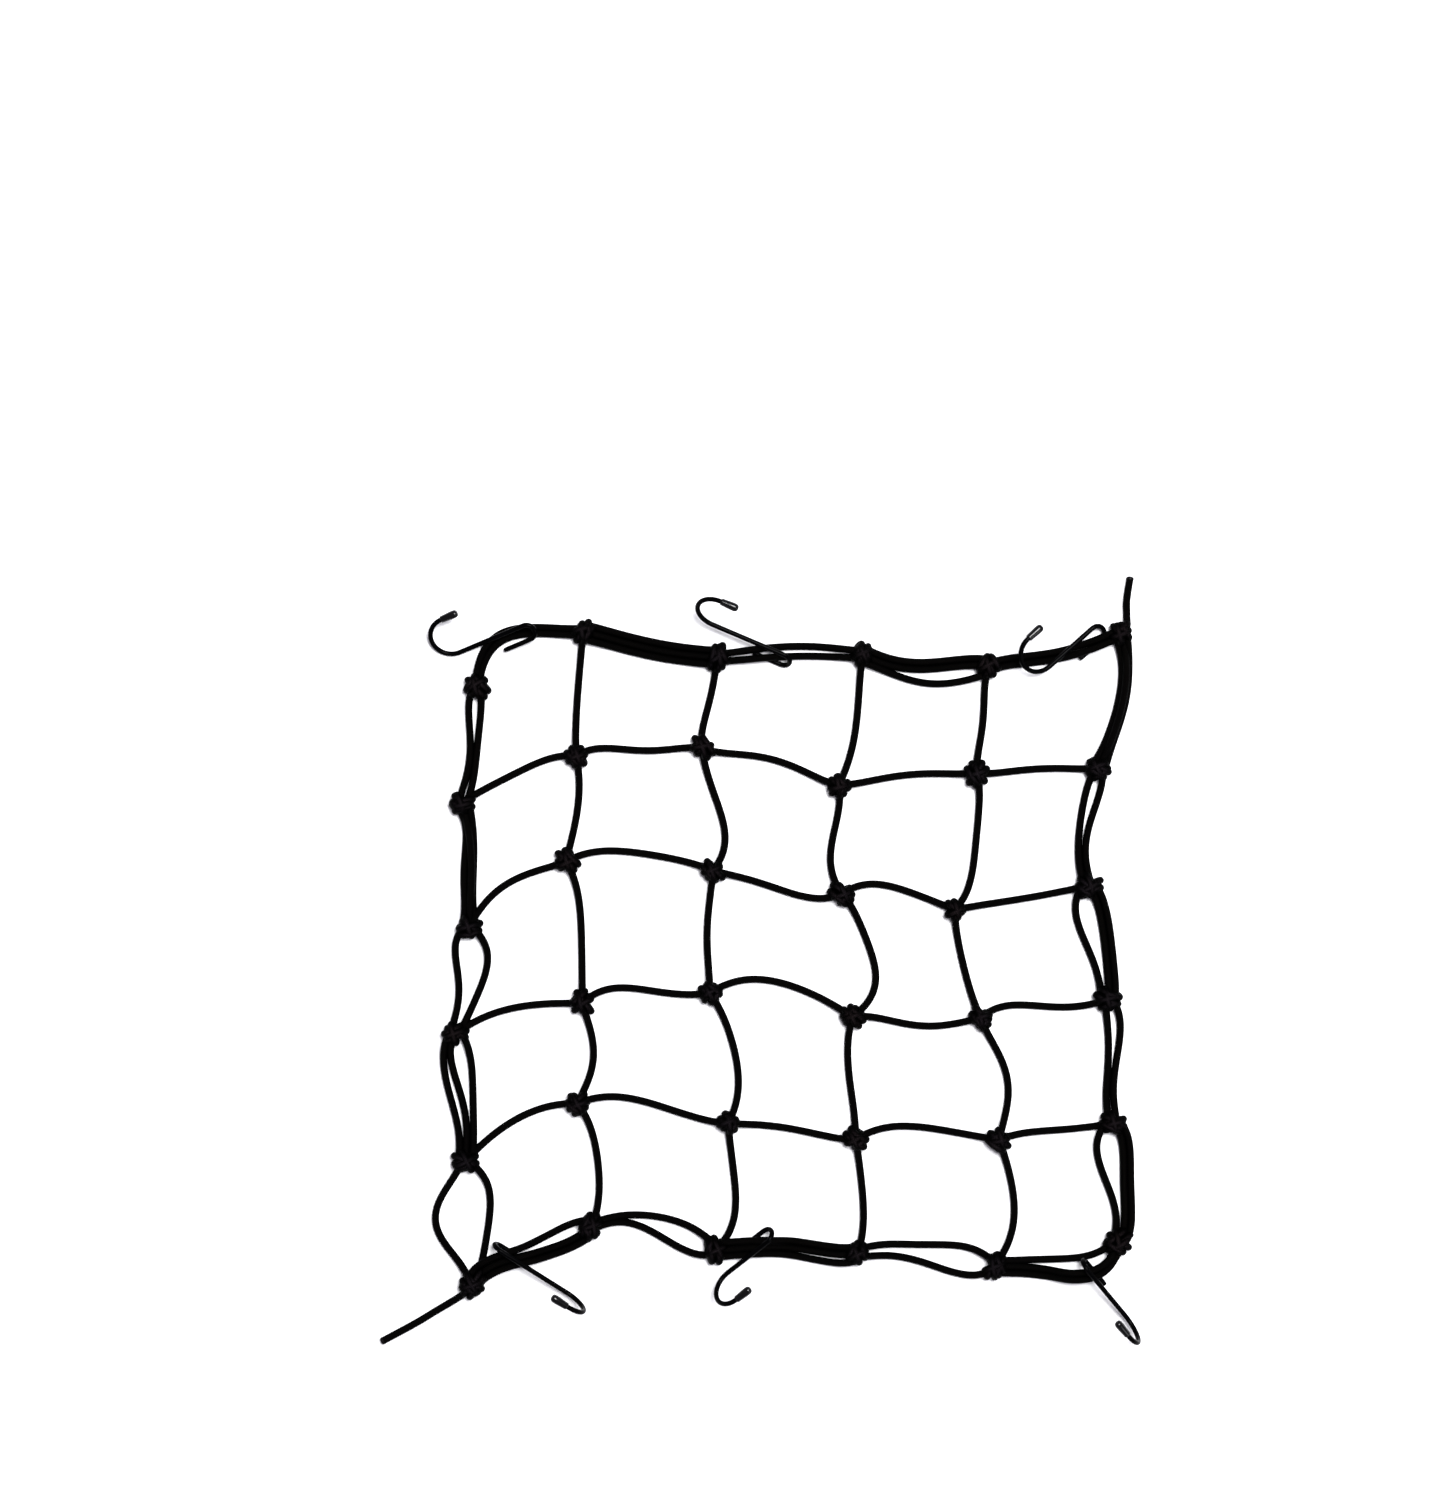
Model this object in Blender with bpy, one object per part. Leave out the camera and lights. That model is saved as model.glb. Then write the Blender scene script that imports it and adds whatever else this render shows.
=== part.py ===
"""Elastic luggage net, lying loose and flat, with six wire hooks clipped on its border.

Metres, +Z up. The net lies on z = 0 and is centred on the origin in plan. Three elastic cords make it:
a border cord that runs twice round, a row cord and a column cord that run to and fro between the
sides. They are tied to each other at six by six knots, and two free ends are left over.
"""
import math
from collections import namedtuple

import bmesh
import bpy
from mathutils import Matrix, Vector

MM = 0.001

# ---- cord ----------------------------------------------------------------------------------------
CORD_RADIUS = 2.3             # corner radius of the five-sided cord, 4.4 mm wide
CORD_SIDES = 5
CORD_REST = CORD_RADIUS * math.cos(math.pi / CORD_SIDES)   # centre height of a cord on the floor
BUNDLE_PITCH = 4.55           # least distance between two strands that lie side by side
KNOT_INSET = 3.6              # a strand ends this far short of the middle of its knot
KNOT_ENTRY_HEIGHT = 5.4       # centre height of a cord inside a knot
KNOT_RISE = 0.27              # share of a span in which a strand climbs from the floor to its knot
LIFT_FLATNESS = 1.6           # a lifted strand has a level stretch over the wire
WIDE_BEND = 12.0              # a strand that bows more than this has the most rings
SLIGHT_BEND = 3.5             # and one that bows less than this the fewest
MANY_STATIONS = (0.0, 0.12, 0.26, 0.42, 0.58, 0.74, 0.88, 1.0)   # shares of the span with a ring
SOME_STATIONS = (0.0, 0.14, 0.36, 0.64, 0.86, 1.0)
FEW_STATIONS = (0.0, 0.17, 0.5, 0.83, 1.0)
TAIL_DROP = 1.0               # how far a free end has come down at its second point
CREASE = 50.0                 # edges sharper than this many degrees stay sharp

# ---- knots ---------------------------------------------------------------------------------------
INNER_KNOT_LENGTH = 14.6
BORDER_KNOT_LENGTH = 17.0
KNOT_WIDTH_RATIO = 0.92       # width of a knot over its length
KNOT_HALF_HEIGHT = 6.4
KNOT_CENTRE_HEIGHT = 5.0
KNOT_SIDES = 8
KNOT_RING_SIZES = (0.46, 0.9, 1.0, 1.0, 0.9, 0.46)
KNOT_RIDGE = 0.09             # height of the diagonal ridges, as a share of the knot's radius

# ---- hooks ---------------------------------------------------------------------------------------
WIRE_RADIUS = 1.5
WIRE_SIDES = 8
CLIP_WIDTH = 10.0             # centre line to centre line of the narrow U that clips on the border
CLIP_LEG = 17.5               # straight length of the U's free leg
HOOK_WIDTH = 24.0             # centre line to centre line of the wide J
TIP_LEG = 11.0               # straight length of the J's free leg, with its cap
CLIP_STEPS = 5                # facets round the U
HOOK_STEPS = 7                # facets round the J

# ---- tip caps ------------------------------------------------------------------------------------
CAP_LENGTH = 11.0
CAP_OVERHANG = 2.0            # solid end beyond the wire
CAP_MOUTH_RADIUS = 2.15
CAP_END_RADIUS = 2.5
CAP_FULL_AT = 0.35            # shares of the length from the closed end: where the cap is thickest,
CAP_ROUND_AT = 0.1            # and where its end starts to close
CAP_ROUND_SIZE = 0.92         # radius there, and at the very end, over the largest radius
CAP_CLOSE_SIZE = 0.55
FIT_GAP = 0.3                 # clearance between the wire and its cap

# ---- places, in mm from the middle of the picture of the net -----------------------------------------
PLAN_CENTRE = (0.2, -0.4)     # middle of the part's box in these coordinates

KNOTS = (
    # top row first; x, y of the six knots of each row
    ((-168.3, 163.8), (-104.7, 196.8), (-24.3, 181.2), (62.1, 183.0), (137.7, 175.8), (216.3, 195.6)),
    ((-177.3, 94.2), (-108.9, 122.4), (-33.9, 127.2), (47.7, 105.0), (130.5, 112.2), (203.1, 115.2)),
    ((-173.1, 20.4), (-114.9, 59.4), (-27.3, 54.0), (50.1, 40.2), (117.3, 30.6), (197.1, 45.0)),
    ((-181.5, -43.8), (-105.3, -25.2), (-29.1, -19.2), (56.1, -33.6), (132.9, -34.2), (209.1, -22.8)),
    ((-175.5, -120.0), (-108.3, -85.2), (-18.3, -97.2), (57.9, -106.8), (143.7, -106.8), (212.1, -96.6)),
    ((-171.3, -192.6), (-99.9, -159.0), (-25.5, -172.8), (59.1, -175.2), (140.7, -182.4), (215.7, -168.0)),
)
LAST = len(KNOTS) - 1

# A bow is a strand's distance from the straight line between its knots, in mm, at a quarter, a half
# and three quarters of the way. Along a row + is up, along a column + is to the right.
Bow = namedtuple("Bow", "quarter half three_quarters")

ROW_BOWS = (
    # one line for each inner row, its five spans from left to right
    (Bow(3, 4.5, 5), Bow(3.5, 1, 0.5), Bow(2, 4.5, 2.5), Bow(1, 2.5, 1.5), Bow(0, 1, 0.5)),
    (Bow(7, 8.5, 5), Bow(7.5, 7.5, 5), Bow(-1.5, -4, -6), Bow(8, 7.5, 4), Bow(-0.5, -1, -1)),
    (Bow(5.5, 6.5, 4), Bow(7, 4.5, 0.5), Bow(11.5, 12.5, 8), Bow(-1.5, -5, -4.5), Bow(4.5, 1, -2)),
    (Bow(5.5, 8, 6.5), Bow(6.5, 5, 1), Bow(1, 1, -0.5), Bow(7, 6.5, 3), Bow(1, 0, -1)),
)
COLUMN_BOWS = (
    # one line for each inner column, its five spans from top to bottom
    (Bow(-1, -1.5, -1.5), Bow(3, 3.5, 2), Bow(4.5, 4, 2), Bow(5, 8, 6), Bow(6.5, 8, 6.5)),
    (Bow(0, -0.5, -1.5), Bow(2.5, 7, 9), Bow(-1.5, -2.5, -1.5), Bow(7, 10, 9), Bow(4, 8, 9)),
    (Bow(2, 4, 4), Bow(-0.5, -4.5, -6), Bow(9, 14.5, 15.5), Bow(-3, -2.5, -0.5), Bow(2.5, 4, 4)),
    (Bow(-0.5, 0.5, 0), Bow(5, 6.5, 7), Bow(-2, -2.5, -2), Bow(6, 10.5, 8), Bow(7, 11, 10)),
)
# The bundles of the border. Strands of a top or bottom bundle are listed from the upper one down,
# those of a left or right bundle from the left one.
TOP_BUNDLES = (
    (Bow(20, 20.5, 12), Bow(16, 16.5, 8)),
    (Bow(2, 2, 2.5), Bow(-2.5, -3.5, -2), Bow(-3.5, -5.5, -6)),
    (Bow(4.5, 6, 5), Bow(-1, 0, -0.5)),
    (Bow(-1, -1, 2.5), Bow(-5, -5, -1.5), Bow(-9.5, -13, -11)),
    (Bow(1, -1.5, -1), Bow(-3, -5, -4.5)),
)
BOTTOM_BUNDLES = (
    (Bow(7.5, 7, 7.5), Bow(4, -1, -4.5), Bow(0.5, -3, -5.5)),
    (Bow(9, 12.5, 10.5), Bow(6.5, 2.5, -4)),
    (Bow(4.5, 4.5, 3), Bow(1.5, 1.5, 0), Bow(0, 0, -5)),
    (Bow(7, 8.5, 9.5), Bow(0, -2.5, -7)),
    (Bow(-1, -3.5, -5), Bow(-5.5, -11.5, -14), Bow(-8.5, -15, -17.5)),
)
LEFT_BUNDLES = (
    (Bow(-3, 0.5, 2), Bow(4, 4, 3)),
    (Bow(1.5, -1, -2), Bow(3, 3.5, 2), Bow(5, 4.5, 3)),
    (Bow(-6.5, -2.5, -1), Bow(13, 12, 7.5)),
    (Bow(-8.5, -6, -2.5), Bow(-3.5, 0.5, 2.5), Bow(8, 7.5, 5.5)),
    (Bow(-14, -20, -11.5), Bow(13, 12, 8)),
)
RIGHT_BUNDLES = (
    (Bow(5, 6, 3), Bow(7, 8, 5.5), Bow(9, 10, 7.5)),
    (Bow(-6, -7.5, -6), Bow(2, -2, -3.5)),
    (Bow(-9, -6.5, -3.5), Bow(5, 4.5, 3), Bow(7, 7.5, 7)),
    (Bow(-0.5, -1, -1.5), Bow(7, 4, 0)),
    (Bow(-9.5, -5, -0.5), Bow(6, 5.5, 5), Bow(8.5, 8, 8)),
)

# Where a hook's wire runs under a strand, the strand is lifted: which strand of the bundle, where on
# the span, how high, and over which share of the span to each side.
Lift = namedtuple("Lift", "side span strand at height reach")
LIFTS = (
    Lift("top", 2, 0, 0.18, 5.3, 0.30),
    Lift("top", 2, 1, 0.29, 5.9, 0.26),
    Lift("top", 4, 0, 0.94, 6.2, 0.26),
    Lift("top", 4, 1, 0.82, 6.5, 0.34),
    Lift("bottom", 0, 0, 0.30, 7.4, 0.34),
    Lift("bottom", 0, 1, 0.31, 6.8, 0.34),
    Lift("bottom", 0, 2, 0.33, 5.9, 0.34),
    Lift("bottom", 2, 0, 0.24, 7.7, 0.34),
    Lift("bottom", 2, 1, 0.16, 6.2, 0.34),
    Lift("bottom", 2, 2, 0.16, 4.4, 0.34),
    Lift("bottom", 4, 1, 0.72, 8.6, 0.34),
    Lift("bottom", 4, 2, 0.72, 7.7, 0.34),
)
# Bundles whose middle strand lies on its neighbours instead of between them.
STACKED = {("left", 1): 1, ("right", 0): 1}
STACK_HEIGHT = 4.0

# The free ends, from their knots outwards: x, y of each point.
TAILS = (
    (KNOTS[LAST][0], (-176.1, -199.2), (-194.1, -210.6), (-206.1, -217.8), (-225.6, -228.3)),
    (KNOTS[0][LAST], (220.3, 199.2), (220.7, 206.4), (220.7, 216.0), (222.7, 229.2)),
)

# Each hook: x, y where the shank leaves the U, degrees from +X to the shank, degrees that the J dips
# below the U, degrees that it rolls about its shank, and the shank's straight length.
Hook = namedtuple("Hook", "name x y turn dip roll shank")
HOOKS = (
    Hook("top_left", -140.6, 200.1, 202, 13, -26, 42.5),
    Hook("top_middle", 15.0, 182.8, 157, 0, -55, 46.5),
    Hook("top_right", 199.6, 198.8, 221.5, -3, -27, 34.5),
    Hook("bottom_left", -153.1, -172.8, 326.5, 8, -84, 46.5),
    Hook("bottom_middle", 5.0, -167.0, 219.5, 11, -122, 31.0),
    Hook("bottom_right", 196.2, -184.3, 309.5, 12, -76, 36.5),
)

BLACK_ELASTIC = ((0.012, 0.011, 0.012), 0.75)
COATED_WIRE = ((0.015, 0.015, 0.016), 0.35)
SOFT_PLASTIC = ((0.018, 0.018, 0.020), 0.28)


def to_metres(x, y, z):
    """A place in the tables' millimetres as a point in metres about the part's centre."""
    return Vector(((x - PLAN_CENTRE[0]) * MM, (y - PLAN_CENTRE[1]) * MM, z * MM))


def material(name, finish):
    """A plain surface with a colour and a roughness."""
    made = bpy.data.materials.new(name)
    made.use_nodes = True
    shader = made.node_tree.nodes["Principled BSDF"]
    colour, roughness = finish
    shader.inputs["Base Color"].default_value = (*colour, 1.0)
    shader.inputs["Roughness"].default_value = roughness
    shader.inputs["Metallic"].default_value = 0.0
    return made


def smooth_step(value):
    """0 to 1 with level ends."""
    value = min(max(value, 0.0), 1.0)
    return value * value * (3.0 - 2.0 * value)


def through_five(values, t):
    """The quartic through five values at 0, 1/4, 1/2, 3/4 and 1."""
    total = 0.0
    for i, value in enumerate(values):
        weight = 1.0
        for j in range(len(values)):
            if j != i:
                weight *= (4.0 * t - j) / (i - j)
        total += weight * value
    return total


def span_stations(offsets, lifted):
    """Shares of the span at which a strand has a ring: more where it bends more."""
    bend = max(abs(value) for value in offsets)
    if bend > WIDE_BEND or lifted:
        return MANY_STATIONS
    if bend > SLIGHT_BEND:
        return SOME_STATIONS
    return FEW_STATIONS


def strand_path(start, end, side_vector, offsets, level, lift):
    """Points along one strand, in mm, from knot to knot.

    The offsets are the strand's distances from the straight line at its start, its three bows and its end.
    """
    start = Vector((*start, 0.0))
    end = Vector((*end, 0.0))
    chord = end - start
    across = Vector((-chord.y, chord.x, 0.0)).normalized()
    if across.dot(side_vector) < 0.0:
        across.negate()
    inset = KNOT_INSET / chord.length
    points = []
    for station in span_stations(offsets, lift is not None):
        t = inset + station * (1.0 - 2.0 * inset)
        rise = smooth_step(1.0 - min(t, 1.0 - t) / KNOT_RISE)
        height = level + (KNOT_ENTRY_HEIGHT - level) * rise
        if lift is not None:
            near = smooth_step((1.0 - abs(t - lift.at) / lift.reach) * LIFT_FLATNESS)
            height = max(height, level + (lift.height - level) * near)
        place = start + chord * t + across * through_five(offsets, t)
        points.append(Vector((place.x, place.y, height)))
    return points


def side_by_side(values):
    """Strand offsets in rising order, moved apart to the least distance about the same middle."""
    apart = [values[0]]
    for value in values[1:]:
        apart.append(max(value, apart[-1] + BUNDLE_PITCH))
    shift = (sum(values) - sum(apart)) / len(values)
    return [value + shift for value in apart]


def bundle_offsets(bundle, descending, stacked):
    """Offsets of each strand of a bundle at its five stations, none closer than they can lie."""
    order = list(range(len(bundle)))
    if descending:
        order.reverse()
    columns = []
    for station in range(5):
        if station in (0, 4):
            columns.append(side_by_side([0.0] * len(order)))
            continue
        values = [bundle[index][station - 1] for index in order]
        free = [value for index, value in zip(order, values) if index != stacked]
        placed = iter(side_by_side(free))
        columns.append([value if index == stacked else next(placed) for index, value in zip(order, values)])
    return {index: [column[place] for column in columns] for place, index in enumerate(order)}


def bundle_paths(side, knots, bundles, side_vector):
    """The paths of the strands of one side of the border, span after span."""
    paths = []
    for span, bundle in enumerate(bundles):
        stacked = STACKED.get((side, span))
        offsets = bundle_offsets(bundle, side in ("top", "bottom"), stacked)
        for index in range(len(bundle)):
            lift = next((row for row in LIFTS if row[:3] == (side, span, index)), None)
            level = CORD_REST + (STACK_HEIGHT if index == stacked else 0.0)
            ends = knots[span], knots[span + 1]
            paths.append(strand_path(*ends, side_vector, offsets[index], level, lift))
    return paths


def all_strand_paths():
    """Every strand of the net and both free ends, as lists of points in mm."""
    up = Vector((0.0, 1.0, 0.0))
    right = Vector((1.0, 0.0, 0.0))
    paths = []
    for row, bows in enumerate(ROW_BOWS, start=1):
        for span, bow in enumerate(bows):
            ends = KNOTS[row][span], KNOTS[row][span + 1]
            paths.append(strand_path(*ends, up, (0.0, *bow, 0.0), CORD_REST, None))
    for column, bows in enumerate(COLUMN_BOWS, start=1):
        for span, bow in enumerate(bows):
            ends = KNOTS[span][column], KNOTS[span + 1][column]
            paths.append(strand_path(*ends, right, (0.0, *bow, 0.0), CORD_REST, None))
    paths += bundle_paths("top", KNOTS[0], TOP_BUNDLES, up)
    paths += bundle_paths("bottom", KNOTS[LAST], BOTTOM_BUNDLES, up)
    paths += bundle_paths("left", [row[0] for row in KNOTS], LEFT_BUNDLES, right)
    paths += bundle_paths("right", [row[LAST] for row in KNOTS], RIGHT_BUNDLES, right)
    for tail in TAILS:
        heights = [KNOT_ENTRY_HEIGHT, KNOT_ENTRY_HEIGHT - TAIL_DROP] + [CORD_REST] * (len(tail) - 2)
        paths.append([Vector((*place, height)) for place, height in zip(tail, heights)])
    return paths


def add_tube(mesh, rings):
    """Join rings of vertices to one closed tube with flat ends."""
    loops = [[mesh.verts.new(point) for point in ring] for ring in rings]
    count = len(loops[0])
    for near, far in zip(loops, loops[1:]):
        for i in range(count):
            j = (i + 1) % count
            mesh.faces.new((near[i], near[j], far[j], far[i]))
    mesh.faces.new(loops[0][::-1])
    mesh.faces.new(loops[-1])


def cord_rings(points):
    """Upright rings with a corner on top and a level underside along a cord's path."""
    rings = []
    for i, point in enumerate(points):
        ahead = points[min(i + 1, len(points) - 1)] - points[max(i - 1, 0)]
        side = Vector((ahead.y, -ahead.x, 0.0)).normalized()
        ring = []
        for corner in range(CORD_SIDES):
            angle = 2.0 * math.pi * (corner + 0.25 * CORD_SIDES) / CORD_SIDES
            offset = side * (CORD_RADIUS * math.cos(angle))
            height = point.z + CORD_RADIUS * math.sin(angle)
            ring.append(to_metres(point.x + offset.x, point.y + offset.y, height))
        rings.append(ring)
    return rings


def knot_rings(row, column):
    """Rings of one knot: a lump along the row's direction, with diagonal ridges and a flat underside."""
    border = row in (0, LAST) or column in (0, LAST)
    length = BORDER_KNOT_LENGTH if border else INNER_KNOT_LENGTH
    here = Vector((*KNOTS[row][column], 0.0))
    if column in (0, LAST):
        before = Vector((*KNOTS[max(row - 1, 0)][column], 0.0))
        after = Vector((*KNOTS[min(row + 1, LAST)][column], 0.0))
    else:
        before = Vector((*KNOTS[row][column - 1], 0.0))
        after = Vector((*KNOTS[row][column + 1], 0.0))
    along = (after - before).normalized()
    side = Vector((along.y, -along.x, 0.0))
    half_width = length * KNOT_WIDTH_RATIO / 2.0
    rings = []
    for i, size in enumerate(KNOT_RING_SIZES):
        share = i / (len(KNOT_RING_SIZES) - 1) - 0.5
        ring = []
        for corner in range(KNOT_SIDES):
            angle = 2.0 * math.pi * (corner + 0.5) / KNOT_SIDES
            ridge = 1.0 + KNOT_RIDGE * math.cos(math.pi * i + angle)
            place = here + along * (share * length) + side * (half_width * size * ridge * math.cos(angle))
            height = KNOT_CENTRE_HEIGHT + KNOT_HALF_HEIGHT * size * ridge * math.sin(angle)
            ring.append(to_metres(place.x, place.y, max(height, 0.0)))
        rings.append(ring)
    return rings


def wire_rings(points, radii, frame):
    """Rings about a flat wire path; the path lies in the frame's XY plane."""
    rings = []
    for i, (point, radius) in enumerate(zip(points, radii)):
        ahead = points[min(i + 1, len(points) - 1)] - points[max(i - 1, 0)]
        side = Vector((ahead.y, -ahead.x, 0.0)).normalized()
        ring = []
        for corner in range(WIRE_SIDES):
            angle = 2.0 * math.pi * (corner + 0.5) / WIRE_SIDES
            offset = side * (radius * math.cos(angle)) + Vector((0.0, 0.0, radius * math.sin(angle)))
            ring.append(frame @ (point + offset))
        rings.append(ring)
    return rings


def hook_path(shank):
    """Centre line of a hook, from the U's free end to the end of the wire in the J's cap."""
    points = [Vector((CLIP_LEG, CLIP_WIDTH, 0.0))]
    half = CLIP_WIDTH / 2.0
    for step in range(CLIP_STEPS + 1):
        angle = math.pi * step / CLIP_STEPS
        points.append(Vector((-half * math.sin(angle), half + half * math.cos(angle), 0.0)))
    half = HOOK_WIDTH / 2.0
    for step in range(HOOK_STEPS + 1):
        angle = math.pi * step / HOOK_STEPS
        points.append(Vector((shank + half * math.sin(angle), -half + half * math.cos(angle), 0.0)))
    points.append(Vector((shank - TIP_LEG + CAP_OVERHANG + FIT_GAP, -HOOK_WIDTH, 0.0)))
    return points


def cap_sections(shank):
    """Places and radii of a cap: its outside from the mouth to the end, then its socket likewise."""
    end = shank - TIP_LEG
    mouth = end + CAP_LENGTH
    bore = WIRE_RADIUS + FIT_GAP
    outside = (
        (mouth, CAP_MOUTH_RADIUS),
        (end + CAP_LENGTH * CAP_FULL_AT, CAP_END_RADIUS),
        (end + CAP_LENGTH * CAP_ROUND_AT, CAP_END_RADIUS * CAP_ROUND_SIZE),
        (end, CAP_END_RADIUS * CAP_CLOSE_SIZE),
    )
    socket = ((mouth, bore), (end + CAP_OVERHANG, bore))
    return outside, socket


def hook_frame(row):
    """Turns a hook as it lies; its height is set afterwards."""
    turn = Matrix.Rotation(math.radians(row.turn), 4, "Z")
    dip = Matrix.Rotation(math.radians(row.dip), 4, "Y")
    roll = Matrix.Rotation(math.radians(row.roll), 4, "X")
    return Matrix.Translation((row.x, row.y, 0.0)) @ turn @ dip @ roll


def new_object(name, mesh, surface):
    """Give a finished mesh its object, its material and its smooth shading."""
    bmesh.ops.recalc_face_normals(mesh, faces=mesh.faces[:])
    data = bpy.data.meshes.new(name)
    mesh.to_mesh(data)
    mesh.free()
    data.materials.append(surface)
    data.shade_smooth()
    data.set_sharp_from_angle(angle=math.radians(CREASE))
    made = bpy.data.objects.new(name, data)
    bpy.context.scene.collection.objects.link(made)
    return made


def build_net(surface):
    """The three cords fused at their knots: one solid."""
    strands = bmesh.new()
    for path in all_strand_paths():
        add_tube(strands, cord_rings(path))
    guide = new_object("strand_guide", strands, surface)
    guide.hide_render = True
    guide.display_type = "WIRE"
    knots = bmesh.new()
    for row in range(len(KNOTS)):
        for column in range(len(KNOTS[row])):
            add_tube(knots, knot_rings(row, column))
    net = new_object("net", knots, surface)
    fuse = net.modifiers.new("fuse", "BOOLEAN")
    fuse.operation = "UNION"
    fuse.solver = "EXACT"
    fuse.use_self = True
    fuse.object = guide
    return net


def build_hook(row, wire, plastic):
    """One hook and its cap, resting with their lowest point on the floor."""
    frame = hook_frame(row)
    path = hook_path(row.shank)
    rings = wire_rings(path, [WIRE_RADIUS] * len(path), frame)
    shell, socket = (
        wire_rings([Vector((x, -HOOK_WIDTH, 0.0)) for x, _ in wall], [radius for _, radius in wall], frame)
        for wall in cap_sections(row.shank)
    )
    lowest = min(point.z for ring in rings + shell for point in ring)
    for group in (rings, shell, socket):
        for ring in group:
            for i, point in enumerate(ring):
                ring[i] = to_metres(point.x, point.y, point.z - lowest)
    hook = bmesh.new()
    add_tube(hook, rings)
    cap = bmesh.new()
    add_cap(cap, shell, socket)
    return new_object("hook_" + row.name, hook, wire), new_object("cap_" + row.name, cap, plastic)


def add_cap(mesh, shell, socket):
    """A closed cap with a blind socket: outer wall, end, mouth rim, socket wall and socket bottom."""
    outer = [[mesh.verts.new(point) for point in ring] for ring in shell]
    inner = [[mesh.verts.new(point) for point in ring] for ring in socket]
    walls = list(zip(outer, outer[1:])) + [(outer[0], inner[0]), (inner[0], inner[1])]
    for near, far in walls:
        for i in range(WIRE_SIDES):
            j = (i + 1) % WIRE_SIDES
            mesh.faces.new((near[i], near[j], far[j], far[i]))
    mesh.faces.new(outer[-1])
    mesh.faces.new(inner[-1])


def main():
    """Clear the scene and build the net, the hooks and the caps."""
    for old in list(bpy.data.objects):
        bpy.data.objects.remove(old)
    elastic = material("black elastic cord", BLACK_ELASTIC)
    wire = material("coated steel wire", COATED_WIRE)
    plastic = material("soft plastic cap", SOFT_PLASTIC)
    build_net(elastic)
    for row in HOOKS:
        build_hook(row, wire, plastic)


if __name__ == "__main__":
    main()
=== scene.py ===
"""Looks of a loose elastic luggage net with six wire hooks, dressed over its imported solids."""
import logging
import math
import random
from collections.abc import Callable, Sequence
from dataclasses import dataclass, field
from enum import Enum
from itertools import pairwise
from typing import NamedTuple

import bmesh
import bpy
from mathutils import Matrix, Vector


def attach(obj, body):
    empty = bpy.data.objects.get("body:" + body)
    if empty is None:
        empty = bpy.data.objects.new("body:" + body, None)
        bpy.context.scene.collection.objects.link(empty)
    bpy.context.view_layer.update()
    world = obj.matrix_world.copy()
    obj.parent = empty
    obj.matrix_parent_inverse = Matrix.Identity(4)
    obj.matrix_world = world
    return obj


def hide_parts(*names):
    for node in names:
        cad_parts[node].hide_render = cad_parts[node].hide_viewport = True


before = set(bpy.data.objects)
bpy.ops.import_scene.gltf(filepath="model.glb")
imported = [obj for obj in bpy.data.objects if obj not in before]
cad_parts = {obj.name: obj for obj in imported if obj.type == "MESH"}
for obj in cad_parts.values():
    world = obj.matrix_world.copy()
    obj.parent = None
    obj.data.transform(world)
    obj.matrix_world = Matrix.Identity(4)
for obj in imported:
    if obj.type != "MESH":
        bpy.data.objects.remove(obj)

Place = tuple[float, float]    # x and y in the tables' coordinates, in mm
Course = list[Vector]          # points along the middle of a strand or wire

LOG = logging.getLogger("luggage_net")
MM = 0.001
PLAN_CENTRE = (0.2, -0.4)      # mm; middle of the part in the tables' coordinates
UP = Vector((0.0, 1.0, 0.0))   # on the picture
RIGHT = Vector((1.0, 0.0, 0.0))
STATIONS = 5                   # a strand's course is known at its start, its three bows and its end
# types of node and settings that recur in the trees
MATH = "ShaderNodeMath"
NOISE = "ShaderNodeTexNoise"
MIX = "ShaderNodeMix"
STORE = "GeometryNodeStoreNamedAttribute"
READ = "GeometryNodeInputNamedAttribute"
RGBA = {"data_type": "RGBA"}
ADD, SUBTRACT, MULTIPLY, DIVIDE = ({"operation": name} for name in ("ADD", "SUBTRACT", "MULTIPLY", "DIVIDE"))


# ---- tables of the lay, in mm ----


class Side(Enum):
    """The four sides of the border."""

    TOP, BOTTOM, LEFT, RIGHT = range(4)


class Bow(NamedTuple):
    """Distances of a strand from the straight line between its knots."""

    quarter: float
    half: float
    three_quarters: float


class Lift(NamedTuple):
    """A strand that rides over the wire of a hook."""

    side: Side
    span: int
    strand: int
    at: float                  # share of the span at which it is highest
    height: float              # of the cord's middle there
    reach: float               # share of the span in which it climbs


class HookRow(NamedTuple):
    """Where a hook lies: shank foot, heading, dip and roll in degrees, and the shank's straight length."""

    name: str
    x: float
    y: float
    turn: float
    dip: float
    roll: float
    shank: float


class KnotLook(NamedTuple):
    """How one knot is drawn up: length and width of the lump, and degrees to its long way."""

    long: float
    wide: float
    lie: float


KNOTS: tuple[tuple[Place, ...], ...] = (
    # top row first; x, y of the six knots of each row
    ((-168.3, 163.8), (-104.7, 196.8), (-24.3, 181.2), (62.1, 183.0), (137.7, 175.8), (216.3, 195.6)),
    ((-177.3, 94.2), (-108.9, 122.4), (-33.9, 127.2), (47.7, 105.0), (130.5, 112.2), (203.1, 115.2)),
    ((-173.1, 20.4), (-114.9, 59.4), (-27.3, 54.0), (50.1, 40.2), (117.3, 30.6), (197.1, 45.0)),
    ((-181.5, -43.8), (-105.3, -25.2), (-29.1, -19.2), (56.1, -33.6), (132.9, -34.2), (209.1, -22.8)),
    ((-175.5, -120.0), (-108.3, -85.2), (-18.3, -97.2), (57.9, -106.8), (143.7, -106.8), (212.1, -96.6)),
    ((-171.3, -192.6), (-99.9, -159.0), (-25.5, -172.8), (59.1, -175.2), (140.7, -182.4), (215.7, -168.0)),
)
LAST = len(KNOTS) - 1

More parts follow.
